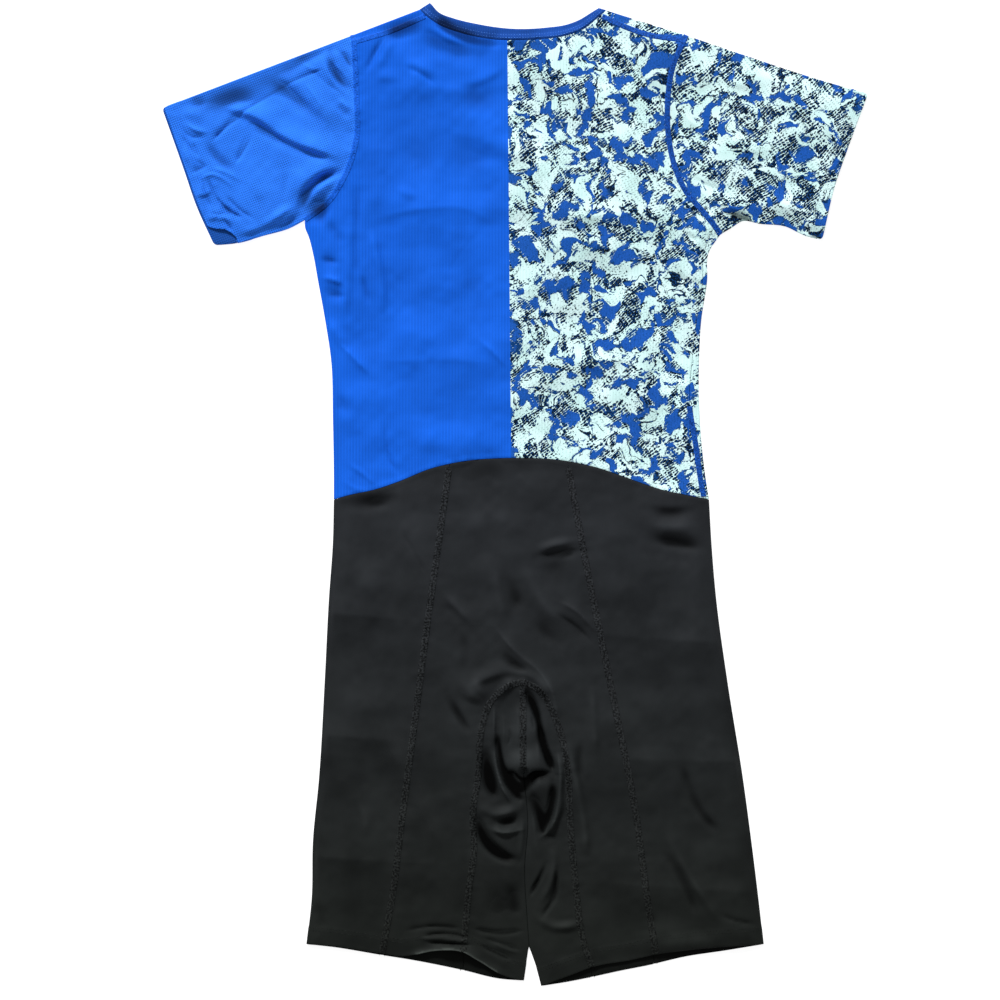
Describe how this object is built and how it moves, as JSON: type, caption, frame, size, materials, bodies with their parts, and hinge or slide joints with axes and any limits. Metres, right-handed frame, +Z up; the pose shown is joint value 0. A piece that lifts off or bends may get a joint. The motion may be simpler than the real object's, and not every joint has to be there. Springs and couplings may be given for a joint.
{
  "type": "running speedsuit",
  "caption": "One-piece short-sleeved running suit laid flat with its back up: two-tone top, neck binding and black mid-thigh shorts.",
  "frame": {"origin": "middle of the footprint, on the surface the suit lies on", "axes": "+X to the right as seen from above with the neck away, +Y from the hems towards the neck, +Z up, out of the back of the suit"},
  "size_m": [0.7764, 1.0808, 0.0119],
  "materials": {
    "neck_rib": "matt elastic rib band, double coverstitched",
    "two_tone_knit": "smooth stretch knit, one half plain royal blue, the other half printed in pale mint, blue and near black",
    "blue_mesh_knit": "fine dotted mesh knit in bright blue",
    "printed_knit": "smooth stretch knit, printed in pale mint, blue and near black",
    "black_knit": "black compression knit with a slight soft sheen"
  },
  "bodies": {
    "root": {"back_panel": "two_tone_knit", "front_panel": "two_tone_knit", "inner_leg_left": "black_knit", "inner_leg_right": "black_knit", "neck_binding": "neck_rib", "shorts_back": "black_knit", "shorts_front": "black_knit", "shorts_side_left": "black_knit", "shorts_side_right": "black_knit", "sleeve_left": "blue_mesh_knit", "sleeve_right": "printed_knit"}
  },
  "joints": []
}
